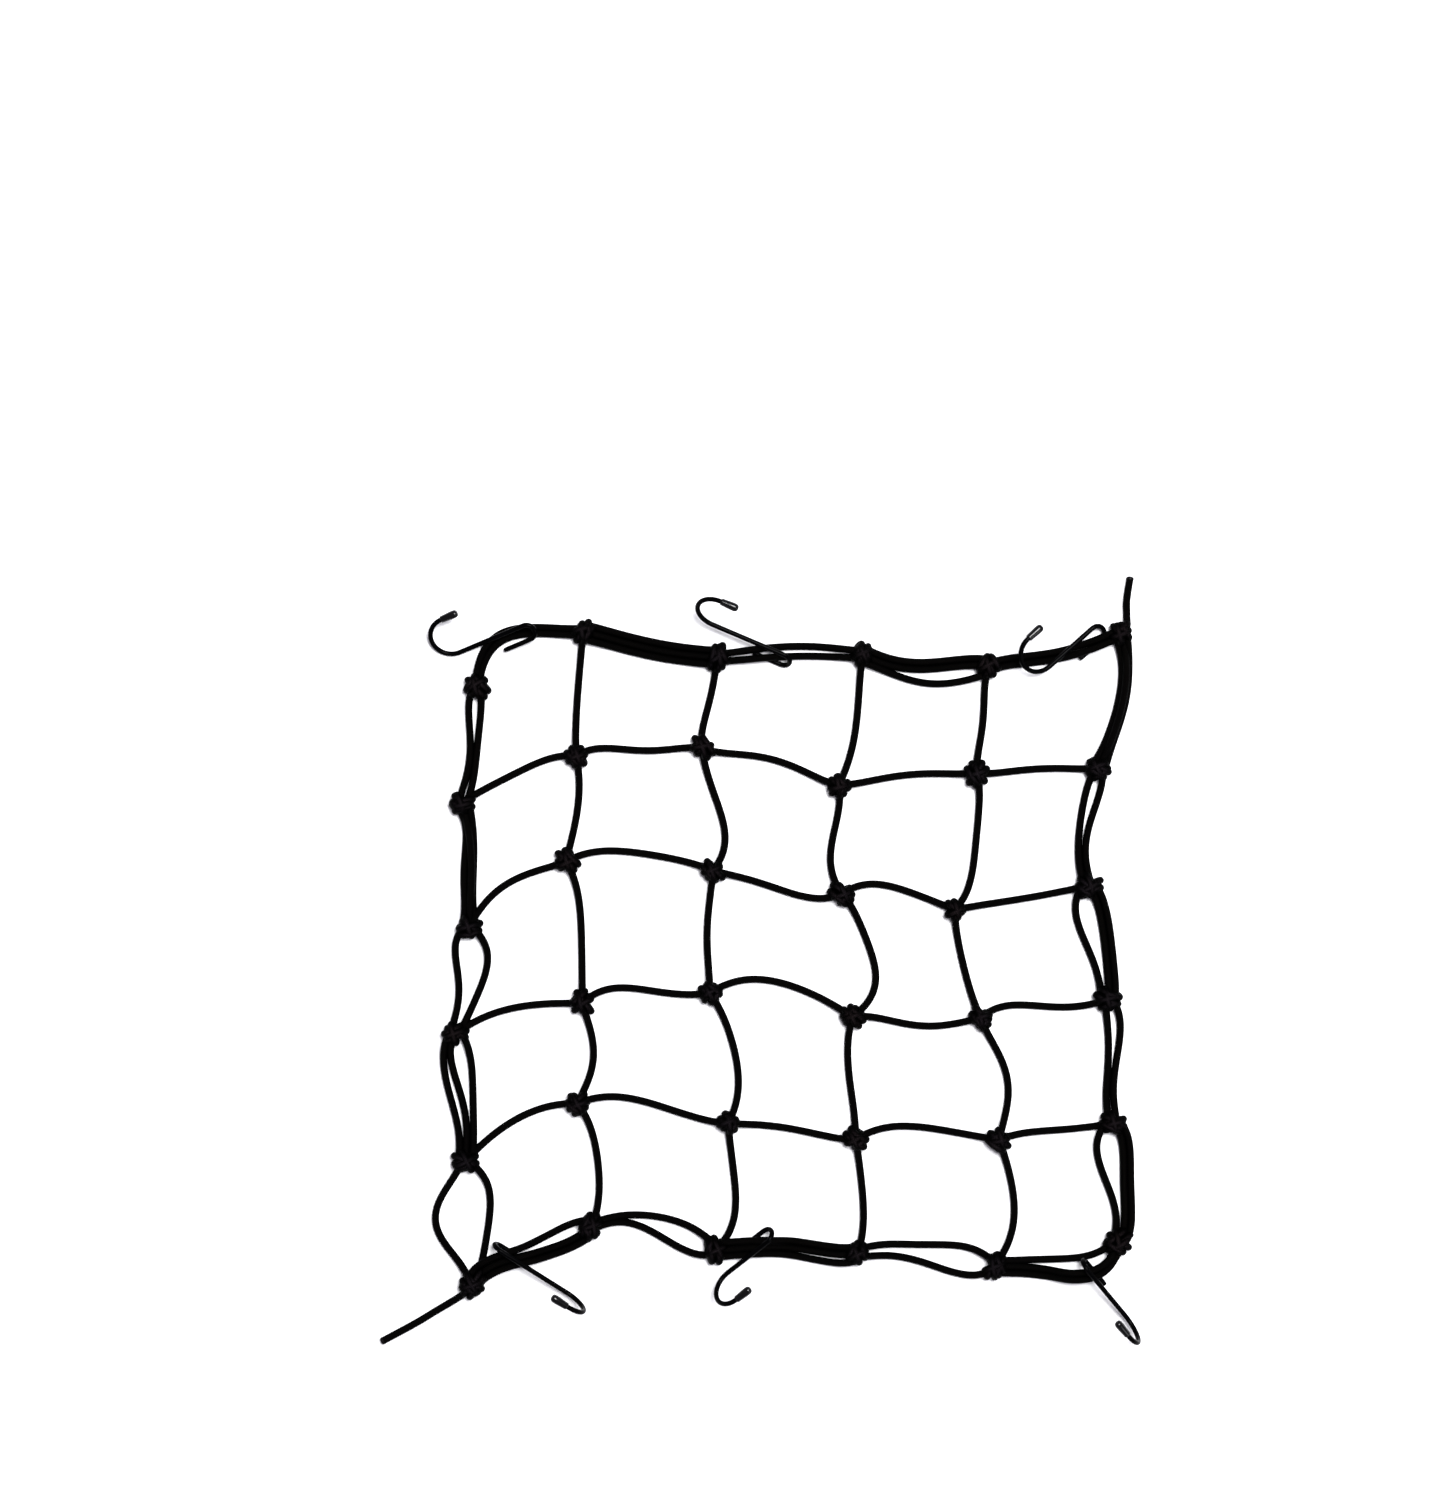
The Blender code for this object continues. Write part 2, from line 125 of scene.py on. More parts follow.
KNOT_LOOKS: tuple[tuple[KnotLook, ...], ...] = tuple(tuple(KnotLook(*look) for look in looks) for looks in (
    # top row first, from left to right: length, width, degrees
    ((16.5, 14.0, 95), (14.5, 12.0, 85), (16.0, 14.5, 0),
     (14.5, 12.5, 0), (15.5, 14.0, 10), (16.0, 14.0, 60)),
    ((15.5, 14.5, 80), (14.8, 14.0, 20), (16.4, 11.6, 128),
     (14.6, 13.0, 0), (15.4, 14.4, 45), (15.6, 14.6, 60)),
    ((16.8, 15.6, 90), (15.2, 14.2, 110), (14.8, 13.0, 135),
     (15.6, 12.4, 148), (14.6, 13.2, 110), (17.0, 14.0, 80)),
    ((16.5, 15.4, 90), (15.2, 14.2, 150), (14.8, 13.2, 120),
     (15.0, 12.2, 160), (14.6, 12.2, 150), (16.0, 14.6, 150)),
    ((17.0, 15.0, 10), (15.6, 13.6, 0), (15.0, 12.6, 150),
     (14.8, 12.0, 120), (15.2, 13.2, 150), (16.0, 13.6, 115)),
    ((18.0, 14.6, 60), (17.0, 14.0, 0), (16.6, 14.0, 165),
     (15.2, 13.4, 90), (17.0, 13.6, 90), (17.0, 15.0, 30)),
))

ROW_BOWS: tuple[tuple[Bow, ...], ...] = (
    # one line for each inner row, its five spans from left to right; + is up
    (Bow(3, 4.5, 5), Bow(3.5, 1, 0.5), Bow(2, 4.5, 2.5), Bow(1, 2.5, 1.5), Bow(0, 1, 0.5)),
    (Bow(7, 8.5, 5), Bow(7.5, 7.5, 5), Bow(-1.5, -4, -6), Bow(8, 7.5, 4), Bow(-0.5, -1, -1)),
    (Bow(5.5, 6.5, 4), Bow(7, 4.5, 0.5), Bow(11.5, 12.5, 8), Bow(-1.5, -5, -4.5), Bow(4.5, 1, -2)),
    (Bow(5.5, 8, 6.5), Bow(6.5, 5, 1), Bow(1, 1, -0.5), Bow(7, 6.5, 3), Bow(1, 0, -1)),
)
COLUMN_BOWS: tuple[tuple[Bow, ...], ...] = (
    # one line for each inner column, its five spans from top to bottom; + is to the right
    (Bow(-1, -1.5, -1.5), Bow(3, 3.5, 2), Bow(4.5, 4, 2), Bow(5, 8, 6), Bow(6.5, 8, 6.5)),
    (Bow(0, -0.5, -1.5), Bow(2.5, 7, 9), Bow(-1.5, -2.5, -1.5), Bow(7, 10, 9), Bow(4, 8, 9)),
    (Bow(2, 4, 4), Bow(-0.5, -4.5, -6), Bow(9, 14.5, 15.5), Bow(-3, -2.5, -0.5), Bow(2.5, 4, 4)),
    (Bow(-0.5, 0.5, 0), Bow(5, 6.5, 7), Bow(-2, -2.5, -2), Bow(6, 10.5, 8), Bow(7, 11, 10)),
)
# Strands of a top or bottom bundle are listed from the upper one down, of a left or right one from the left.
BUNDLES: dict[Side, tuple[tuple[Bow, ...], ...]] = {
    Side.TOP: (
        (Bow(20, 20.5, 12), Bow(16, 16.5, 8)),
        (Bow(2, 2, 2.5), Bow(-2.5, -3.5, -2), Bow(-3.5, -5.5, -6)),
        (Bow(4.5, 6, 5), Bow(-1, 0, -0.5)),
        (Bow(-1, -1, 2.5), Bow(-5, -5, -1.5), Bow(-9.5, -13, -11)),
        (Bow(1, -1.5, -1), Bow(-3, -5, -4.5)),
    ),
    Side.BOTTOM: (
        (Bow(7.5, 7, 7.5), Bow(4, -1, -4.5), Bow(0.5, -3, -5.5)),
        (Bow(9, 12.5, 10.5), Bow(6.5, 2.5, -4)),
        (Bow(4.5, 4.5, 3), Bow(1.5, 1.5, 0), Bow(0, 0, -5)),
        (Bow(7, 8.5, 9.5), Bow(0, -2.5, -7)),
        (Bow(-1, -3.5, -5), Bow(-5.5, -11.5, -14), Bow(-8.5, -15, -17.5)),
    ),
    Side.LEFT: (
        (Bow(-3, 0.5, 2), Bow(4, 4, 3)),
        (Bow(1.5, -1, -2), Bow(3, 3.5, 2), Bow(5, 4.5, 3)),
        (Bow(-6.5, -2.5, -1), Bow(13, 12, 7.5)),
        (Bow(-8.5, -6, -2.5), Bow(-3.5, 0.5, 2.5), Bow(8, 7.5, 5.5)),
        (Bow(-14, -20, -11.5), Bow(13, 12, 8)),
    ),
    Side.RIGHT: (
        (Bow(5, 6, 3), Bow(7, 8, 5.5), Bow(9, 10, 7.5)),
        (Bow(-6, -7.5, -6), Bow(2, -2, -3.5)),
        (Bow(-9, -6.5, -3.5), Bow(5, 4.5, 3), Bow(7, 7.5, 7)),
        (Bow(-0.5, -1, -1.5), Bow(7, 4, 0)),
        (Bow(-9.5, -5, -0.5), Bow(6, 5.5, 5), Bow(8.5, 8, 8)),
    ),
}
LIFTS: tuple[Lift, ...] = (
    Lift(Side.TOP, 2, 0, 0.18, 5.3, 0.30),
    Lift(Side.TOP, 2, 1, 0.29, 5.9, 0.26),
    Lift(Side.TOP, 4, 0, 0.94, 6.2, 0.26),
    Lift(Side.TOP, 4, 1, 0.82, 6.5, 0.34),
    Lift(Side.BOTTOM, 0, 0, 0.30, 7.4, 0.34),
    Lift(Side.BOTTOM, 0, 1, 0.31, 6.8, 0.34),
    Lift(Side.BOTTOM, 0, 2, 0.33, 5.9, 0.34),
    Lift(Side.BOTTOM, 2, 0, 0.24, 7.7, 0.34),
    Lift(Side.BOTTOM, 2, 1, 0.16, 6.2, 0.34),
    Lift(Side.BOTTOM, 2, 2, 0.16, 4.4, 0.34),
    Lift(Side.BOTTOM, 4, 1, 0.72, 8.6, 0.34),
    Lift(Side.BOTTOM, 4, 2, 0.72, 7.7, 0.34),
)
# Bundles whose middle strand lies on its neighbours instead of between them.
STACKED: dict[tuple[Side, int], int] = {(Side.LEFT, 1): 1, (Side.RIGHT, 0): 1}

# The free ends, from their knots outwards: x, y of each point.
TAILS: tuple[tuple[Place, ...], ...] = (
    (KNOTS[LAST][0], (-176.1, -199.2), (-194.1, -210.6), (-206.1, -217.8), (-225.6, -228.3)),
    (KNOTS[0][LAST], (220.3, 199.2), (220.7, 206.4), (220.7, 216.0), (222.7, 229.2)),
)
HOOKS: tuple[HookRow, ...] = (
    HookRow("top_left", -140.6, 200.1, 202, 13, -26, 42.5),
    HookRow("top_middle", 15.0, 182.8, 157, 0, -55, 46.5),
    HookRow("top_right", 199.6, 198.8, 221.5, -3, -27, 34.5),
    HookRow("bottom_left", -153.1, -172.8, 326.5, 8, -84, 46.5),
    HookRow("bottom_middle", 5.0, -167.0, 219.5, 11, -122, 31.0),
    HookRow("bottom_right", 196.2, -184.3, 309.5, 12, -76, 36.5),
)
# The knots column by column, and those of each side of the border, from the left or from the top.
KNOT_COLUMNS: tuple[tuple[Place, ...], ...] = tuple(zip(*KNOTS))
BORDER_KNOTS: dict[Side, tuple[Place, ...]] = dict(zip(
    Side, (KNOTS[0], KNOTS[LAST], KNOT_COLUMNS[0], KNOT_COLUMNS[LAST])
))


# ---- small helpers ----


def srgb(code: str) -> tuple[float, float, float, float]:
    """Linear colour of an sRGB hex code.

    Args:
        code: six hex digits with a leading hash.

    Returns:
        Red, green, blue and alpha, linear.
    """
    channels = []
    for start in (1, 3, 5):
        value = int(code[start:start + 2], 16) / 255.0
        channels.append(value / 12.92 if value <= 0.04045 else ((value + 0.055) / 1.055) ** 2.4)
    return (*channels, 1.0)


def smooth_step(value: float) -> float:
    """0 to 1 with level ends."""
    value = min(max(value, 0.0), 1.0)
    return value * value * (3.0 - 2.0 * value)


def through_stations(values: Sequence[float], t: float) -> float:
    """The smooth curve through the values at a strand's five stations.

    Args:
        values: the value at each station, evenly spaced.
        t: the place, 0 to 1.

    Returns:
        The value at t.
    """
    place = (STATIONS - 1) * t
    return sum(value * math.prod((place - j) / (i - j) for j in range(STATIONS) if j != i)
               for i, value in enumerate(values))


def spline_through(points: Sequence[Vector], steps: int) -> Course:
    """A smooth course through points, with the same number of steps between each two.

    Args:
        points: the places to pass through.
        steps: how many steps from one to the next.

    Returns:
        The course's points, ends included.
    """
    course = []
    for i in range(len(points) - 1):
        before = points[max(i - 1, 0)]
        start, end = points[i], points[i + 1]
        after = points[min(i + 2, len(points) - 1)]
        for step in range(steps):
            t = step / steps
            course.append(0.5 * (2.0 * start + (end - before) * t
                                 + (2.0 * before - 5.0 * start + 4.0 * end - after) * t * t
                                 + (3.0 * start - before - 3.0 * end + after) * t * t * t))
    course.append(points[-1].copy())
    return course


def to_part(point: Vector) -> Vector:
    """A place in the tables' millimetres as a point of the part, in metres."""
    return Vector(((point.x - PLAN_CENTRE[0]) * MM, (point.y - PLAN_CENTRE[1]) * MM, point.z * MM))


def put_in_scene(name: str, data: bpy.types.ID) -> bpy.types.Object:
    """A new object with its mesh, light or camera, at the origin.

    Args:
        name: the object's name.
        data: what it shows.

    Returns:
        The object.
    """
    made = bpy.data.objects.new(name, data)
    bpy.context.scene.collection.objects.link(made)
    return made


def hand_over(piece: bpy.types.Object, node: str) -> None:
    """Let a finished piece ride on the part in place of its solid.

    Args:
        piece: the finished object.
        node: the solid that it stands for.
    """
    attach(piece, "root")
    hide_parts(node)
    LOG.info("%s: %d faces", piece.name, len(piece.data.polygons))


def fill(node: bpy.types.Node, *first: object, **values: object) -> None:
    """Fill or link inputs of a node.

    Each takes a value, the socket to link from, or the node whose first output in use is linked.

    Args:
        node: the node.
        first: what its first inputs in use take, in order.
        values: what its inputs of these names take, with _ for a space.
    """
    sockets = [socket for socket in node.inputs if socket.enabled]
    by_name = {socket.name: socket for socket in reversed(sockets)}
    named = ((by_name[key.replace("_", " ")], value) for key, value in values.items())
    for socket, value in (*zip(sockets, first), *named):
        if isinstance(value, bpy.types.Node):
            value = next(output for output in value.outputs if output.enabled)
        if isinstance(value, bpy.types.NodeSocket):
            node.id_data.links.new(value, socket)
        else:
            socket.default_value = value


def add_node(tree: bpy.types.NodeTree, kind: str, settings: dict[str, str] | None = None,
             *first: object, **values: object) -> bpy.types.Node:
    """Add a node, set its options and fill or link its inputs.

    Args:
        tree: the tree it goes into.
        kind: Blender's name of the node type.
        settings: options of the node itself.
        first: what its first inputs take, as fill has it.
        values: what its inputs of these names take, as fill has it.

    Returns:
        The new node.
    """
    node = tree.nodes.new(kind)
    for key, value in (settings or {}).items():
        setattr(node, key, value)
    fill(node, *first, **values)
    return node


# ---- finishes ----


@dataclass(frozen=True, kw_only=True)
class Finish:
    """What every finish states: its material's name and the plain numbers of the shader."""

    name: str
    roughness: float
    specular: float
    ior: float = 1.5

    def start(self) -> tuple[bpy.types.Material, bpy.types.Node]:
        """Begin the material.

        Returns:
            The material and its shader, with the plain numbers set.
        """
        material = bpy.data.materials.new(self.name)
        material.use_nodes = True
        shader = material.node_tree.nodes["Principled BSDF"]
        fill(shader, Roughness=self.roughness, Specular_IOR_Level=self.specular, IOR=self.ior)
        return material, shader


@dataclass(frozen=True, kw_only=True)
class BraidedSheath(Finish):
    """Polyester sheath braided over a latex core: a fine woven grain, a painted highlight on the upper side,
    and painted shade on the flanks and in the gaps between plaits.
    """

    name: str = "braided polyester sheath over latex core"
    roughness: float = 0.5
    specular: float = 0.008
    # the painted shade colour of the plaits' gaps and the flanks, the painted highlight colour of the plaits'
    # tops on the upper side, and the warmer tone of the dye's drift
    shade_colour: str = "#000000"
    lit_colour: str = "#080708"
    warm: str = "#0b0907"
    painted_light_power: float = 2.5        # how fast the painted highlight falls off from the upper side into painted shade on the flanks
    carriers: int = 12              # plaits that run round the cord in each direction
    plait_pitch: float = 1.15 * MM  # length of one plait along the cord
    relief: float = 0.3 * MM        # height of a plait over the gaps
    bump_strength: float = 0.8
    drift_scale: float = 26.0       # patches of some 40 mm where the dye is warmer
    nap_scale: float = 900.0        # tufts of about 1 mm
    nap_least: float = 0.35         # light on a plait where the nap is thinnest
    nap_relief: float = 0.35        # height of the nap over that of a plait

    def make(self) -> bpy.types.Material:
        """Build the material: two crossing families of plaits on the cord's own round and along map.

        Returns:
            The material.
        """
        material, shader = self.start()
        tree = material.node_tree
        cord_map = add_node(tree, "ShaderNodeUVMap", {"uv_map": "UVMap"})
        parts = add_node(tree, "ShaderNodeSeparateXYZ", Vector=cord_map).outputs
        # the two families of plaits cross each other at the braid's angle
        round_turns = add_node(tree, MATH, MULTIPLY, parts["X"], float(self.carriers))
        along_turns = add_node(tree, MATH, DIVIDE, parts["Y"], self.plait_pitch)
        families = []
        for operation in (ADD, SUBTRACT):
            turns = add_node(tree, MATH, operation, round_turns, along_turns)
            phase = add_node(tree, MATH, MULTIPLY, turns, math.pi)
            wave = add_node(tree, MATH, {"operation": "SINE"}, phase)
            families.append(add_node(tree, MATH, {"operation": "ABSOLUTE"}, wave))
        plait = add_node(tree, MATH, MULTIPLY, *families)
        # broad drift in the dye, and the short nap of the fibres
        place = add_node(tree, "ShaderNodeTexCoord").outputs["Object"]
        drift = add_node(tree, NOISE, Vector=place, Scale=self.drift_scale, Detail=2.0)
        nap = add_node(tree, NOISE, Vector=place, Scale=self.nap_scale, Detail=3.0)
        lit_colour = add_node(tree, MIX, RGBA, drift, srgb(self.lit_colour), srgb(self.warm))
        # painted light: the upper side, which faces the lamps, is painted lighter, and the flanks are painted
        # black as shade
        normal = add_node(tree, "ShaderNodeNewGeometry").outputs["Normal"]
        up = add_node(tree, "ShaderNodeSeparateXYZ", Vector=normal).outputs["Z"]
        above = add_node(tree, MATH, {"operation": "MAXIMUM"}, up, 0.0)
        painted_top_light = add_node(tree, MATH, {"operation": "POWER"}, above, self.painted_light_power)
        fibres = add_node(tree, MATH, ADD, nap, self.nap_least)
        napped = add_node(tree, MATH, MULTIPLY, plait, fibres)
        lit = add_node(tree, MATH, MULTIPLY, napped, painted_top_light)
        # painted highlight on the plaits' tops on the upper side, painted shade in the gaps between plaits
        # and on the flanks
        colour = add_node(tree, MIX, RGBA, lit, srgb(self.shade_colour), lit_colour)
        tufts = add_node(tree, MATH, MULTIPLY, nap, self.nap_relief)
        height = add_node(tree, MATH, ADD, plait, tufts)
        bump = add_node(tree, "ShaderNodeBump", Strength=self.bump_strength, Distance=self.relief,
                        Height=height)
        fill(shader, Base_Color=colour, Normal=bump)
        return material


@dataclass(frozen=True, kw_only=True)
class KnotSheathPaintedLight(BraidedSheath):
    """The same sheath in the knots, with a paler painted highlight on the upward tops of the wraps, and
    painted shade in the creases and on the flanks.
    """

    name: str = "braided polyester sheath drawn tight"
    roughness: float = 0.4
    # paler painted highlight colour on the wraps' tops, with a steep falloff into painted shade on their
    # flanks
    lit_colour: str = "#1f1d24"
    warm: str = "#261e1d"
    painted_light_power: float = 10.0


@dataclass(frozen=True, kw_only=True)
class SmoothSkin(Finish):
    """A smooth skin with patches of another tone and gloss, and a fine relief."""

    colour: str
    patch_colour: str
    patch_scale: float              # cells a metre
    patch_detail: float = 3.0
    gloss_play: tuple[float, float] = (0.0, 0.0)    # least and most that a patch adds to the roughness
    relief_scale: float             # cells a metre
    relief_detail: float = 3.0
    relief: float                   # height in metres
    bump_strength: float

    def make(self) -> bpy.types.Material:
        """Build the material.

        Returns:
            The material.
        """
        material, shader = self.start()
        tree = material.node_tree
        place = add_node(tree, "ShaderNodeTexCoord").outputs["Object"]
        patches = add_node(tree, NOISE, Vector=place, Scale=self.patch_scale, Detail=self.patch_detail)
        ripple = add_node(tree, NOISE, Vector=place, Scale=self.relief_scale, Detail=self.relief_detail)
        colour = add_node(tree, MIX, RGBA, patches, srgb(self.colour), srgb(self.patch_colour))
        least, most = (self.roughness + play for play in self.gloss_play)
        rough = add_node(tree, "ShaderNodeMapRange", Value=patches, To_Min=least, To_Max=most)
        bump = add_node(tree, "ShaderNodeBump", Strength=self.bump_strength, Distance=self.relief,
                        Height=ripple)
        fill(shader, Base_Color=colour, Roughness=rough, Normal=bump)
        return material


@dataclass(frozen=True, kw_only=True)
class PowderCoat(SmoothSkin):
    """Black powder coat baked on bent steel wire: satin, its thin highlight broken by a faint orange peel."""

    name: str = "black powder coated steel wire"
    roughness: float = 0.2
    specular: float = 0.015
    colour: str = "#010101"
    patch_colour: str = "#030304"
    patch_scale: float = 90.0       # rubbed patches of about 10 mm
    gloss_play: tuple[float, float] = (-0.06, 0.1)
    relief_scale: float = 1100.0    # peel with cells of about 0.9 mm
    relief_detail: float = 1.0
    relief: float = 0.02 * MM
    bump_strength: float = 0.5


@dataclass(frozen=True, kw_only=True)
class DippedVinyl(SmoothSkin):
    """Soft vinyl from a dip bath: a broad grey gleam between black edges, dulled in patches by handling."""

    name: str = "soft dipped vinyl"
    roughness: float = 0.16
    specular: float = 0.24
    ior: float = 1.53
    colour: str = "#020203"
    patch_colour: str = "#080809"
    patch_scale: float = 260.0      # haze with patches of about 4 mm
    gloss_play: tuple[float, float] = (-0.08, 0.14)
    relief_scale: float = 260.0
    relief: float = 0.05 * MM
    bump_strength: float = 0.4


@dataclass(frozen=True, kw_only=True)
class MeltedEnd(SmoothSkin):
    """Polyester that was cut hot: a small hard bead, lumpy and a little shinier than the braid."""

    name: str = "heat sealed polyester"
    roughness: float = 0.38
    specular: float = 0.06
    colour: str = "#050505"
    patch_colour: str = "#0d0b0c"
    patch_scale: float = 1200.0     # lumps of about 0.8 mm
    patch_detail: float = 2.0
    relief_scale: float = 1200.0
    relief_detail: float = 2.0
    relief: float = 0.15 * MM
    bump_strength: float = 0.6


# ---- the swept round cord or wire ----


@dataclass
class RoundSweep:
    """Geometry Nodes tree that sweeps a round section along every line of a mesh of edges."""

    name: str = "round_section_sweep"
    seed: float = 7.0                  # of the slubs
    slub_length: float = 30.0 * MM     # length of one swelling of the cord
    seam_step: float = 0.3             # turns from corner to face, past which the seam lies between
    tree: bpy.types.NodeTree | None = None
    sockets: dict[str, str] = field(default_factory=dict)

    def build(self) -> None:
        """Build the tree with its named inputs."""
        tree = bpy.data.node_groups.new(self.name, "GeometryNodeTree")
        face = tree.interface
        face.new_socket("Geometry", in_out="OUTPUT", socket_type="NodeSocketGeometry")
        for label, kind in (("Geometry", "NodeSocketGeometry"), ("Radius", "NodeSocketFloat"),
                            ("Sides", "NodeSocketInt"), ("Slub", "NodeSocketFloat"),
                            ("Slub Length", "NodeSocketFloat"), ("Material", "NodeSocketMaterial")):
            self.sockets[label] = face.new_socket(label, in_out="INPUT", socket_type=kind).identifier
        given = tree.nodes.new("NodeGroupInput").outputs
        on_points = {"data_type": "FLOAT", "domain": "POINT"}
        curve = add_node(tree, "GeometryNodeMeshToCurve", Mesh=given["Geometry"])
        along = add_node(tree, "GeometryNodeSplineParameter").outputs["Length"]
        path = add_node(tree, STORE, on_points, Geometry=curve, Name="along", Value=along)
        # slubs: the cord is a little thicker and thinner along its length
        cells = add_node(tree, MATH, DIVIDE, 1.0, given["Slub Length"])
        noise = add_node(tree, NOISE, {"noise_dimensions": "4D"}, Scale=cells, Detail=1.0, W=self.seed)
        swing = add_node(tree, MATH, SUBTRACT, noise, 0.5)
        slub = add_node(tree, MATH, MULTIPLY, swing, given["Slub"])
        share = add_node(tree, MATH, ADD, slub, 1.0)
        thick = add_node(tree, READ, {"data_type": "FLOAT"}, Name="thickness")
        size = add_node(tree, MATH, MULTIPLY, thick, share)
        ring = add_node(tree, "GeometryNodeCurvePrimitiveCircle", Resolution=given["Sides"],
                        Radius=given["Radius"])
        turn = add_node(tree, "GeometryNodeSplineParameter").outputs["Factor"]
        section = add_node(tree, STORE, on_points, Geometry=ring, Name="around", Value=turn)
        swept = add_node(tree, "GeometryNodeCurveToMesh", Curve=path, Profile_Curve=section, Scale=size,
                         Fill_Caps=True)
        whole = add_node(tree, "GeometryNodeRealizeInstances", Geometry=self.store_map(tree, swept))
        dressed = add_node(tree, "GeometryNodeSetMaterial", Geometry=whole, Material=given["Material"])
        add_node(tree, "NodeGroupOutput", Geometry=dressed)
        self.tree = tree

    def store_map(self, tree: bpy.types.NodeTree, mesh: bpy.types.Node) -> bpy.types.Node:
        """Store a map of turns round the section and metres along it, without a break at the seam.

        Args:
            tree: the tree it goes into.
            mesh: the node that makes the swept mesh.

        Returns:
            The node that gives the mesh with its map.
        """
        around, along = (add_node(tree, READ, {"data_type": "FLOAT"}, Name=name)
                         for name in ("around", "along"))
        middle = add_node(tree, "GeometryNodeFieldOnDomain", {"data_type": "FLOAT", "domain": "FACE"},
                          Value=around)
        behind = add_node(tree, MATH, SUBTRACT, middle, around)
        wraps = add_node(tree, MATH, {"operation": "GREATER_THAN"}, behind, self.seam_step)
        turns = add_node(tree, MATH, ADD, around, wraps)
        place = add_node(tree, "ShaderNodeCombineXYZ", X=turns, Y=along)
        return add_node(tree, STORE, {"data_type": "FLOAT2", "domain": "CORNER"},
                        Geometry=mesh, Name="UVMap", Value=place)

    def sweep(self, name: str, lines: Sequence[Course], radius: float, sides: int,
              material: bpy.types.Material, slub: float = 0.0,
              thickness: Callable[[float], float] | None = None) -> bpy.types.Object:
        """Sweep a round section along lines and turn the result into a plain mesh.

        Args:
            name: the piece's name.
            lines: each line's points, in metres.
            radius: of the section, in metres.
            sides: of the section.
            material: the finish.
            slub: how much the thickness varies, as a share.
            thickness: size of the section over its radius, by share of the line's length.

        Returns:
            The finished piece.
        """
        points = []
        edges = []
        sizes = []
        for line in lines:
            edges += pairwise(range(len(points), len(points) + len(line)))
            sizes += [thickness(i / (len(line) - 1)) if thickness else 1.0 for i in range(len(line))]
            points += [tuple(point) for point in line]
        wires = bpy.data.meshes.new(name + "_lines")
        wires.from_pydata(points, edges, [])
        layer = wires.attributes.new("thickness", "FLOAT", "POINT")
        layer.data.foreach_set("value", sizes)
        guide = put_in_scene(name + "_lines", wires)
        modifier = guide.modifiers.new("sweep", "NODES")
        modifier.node_group = self.tree
        for label, value in (("Radius", radius), ("Sides", sides), ("Slub", slub),
                             ("Slub Length", self.slub_length), ("Material", material)):
            modifier[self.sockets[label]] = value
        ready = guide.evaluated_get(bpy.context.evaluated_depsgraph_get())
        mesh = bpy.data.meshes.new_from_object(ready)
        mesh.name = name
        bpy.data.objects.remove(guide)
        bpy.data.meshes.remove(wires)
        mesh.shade_smooth()
        return put_in_scene(name, mesh)


# ---- the net ----


@dataclass
class Cord:
    """Sizes of the elastic cord and of the way it lies, in mm."""

    radius: float = 2.2
    sides: int = 16
    slub: float = 0.05             # how much its thickness varies, as a share
    pitch: float = 4.3             # two strands side by side, pressed together
    step: float = 2.0              # length of one step of a course
    knot_height: float = 5.4       # centre height inside a knot
    knot_rise: float = 0.27        # share of a span in which a strand climbs to its knot
    lift_flatness: float = 1.6     # over 1, the top of a lift is level for a way
    stack_height: float = 4.0      # of a strand on its neighbours over one on the floor
    tail_drop: float = 1.0         # of a free end, from its knot to its next point
    tail_steps: int = 6

    def height(self, t: float, level: float, lift: Lift | None) -> float:
        """Centre height of a strand at a share of its span.

        Args:
            t: the share, 0 to 1.
            level: the height at which it lies between its knots.
            lift: the wire that it rides over, if any.

        Returns:
            The height, in mm.
        """
        rise = smooth_step(1.0 - min(t, 1.0 - t) / self.knot_rise)
        height = level + (self.knot_height - level) * rise
        if lift is not None:
            near = smooth_step((1.0 - abs(t - lift.at) / lift.reach) * self.lift_flatness)
            height = max(height, level + (lift.height - level) * near)
        return height

    def strand(self, ends: tuple[Place, Place], side: Vector, offsets: Sequence[float], level: float,
               lift: Lift | None = None) -> Course:
        """The course of one strand from knot to knot.

        Args:
            ends: x, y of both knots.
            side: the direction in which an offset counts as positive.
            offsets: distances from the straight line at the five stations.
            level: centre height between the knots.
            lift: the wire that it rides over, if any.

        Returns:
            The points, in mm.
        """
        start, end = (Vector((*place, 0.0)) for place in ends)
        chord = end - start
        across = Vector((-chord.y, chord.x, 0.0)).normalized()
        if across.dot(side) < 0.0:
            across.negate()
        count = round(chord.length / self.step)
        points = []
        for i in range(count + 1):
            t = i / count
            place = start + chord * t + across * through_stations(offsets, t)
            points.append(Vector((place.x, place.y, self.height(t, level, lift))))
        return points

    def spread(self, values: Sequence[float]) -> list[float]:
        """Offsets in rising order, moved apart to the least distance about the same middle.

        Args:
            values: the wanted offsets.

        Returns:
            The offsets that the strands can take.
        """
        apart = [values[0]]
        for value in values[1:]:
            apart.append(max(value, apart[-1] + self.pitch))
        shift = (sum(values) - sum(apart)) / len(values)
        return [value + shift for value in apart]


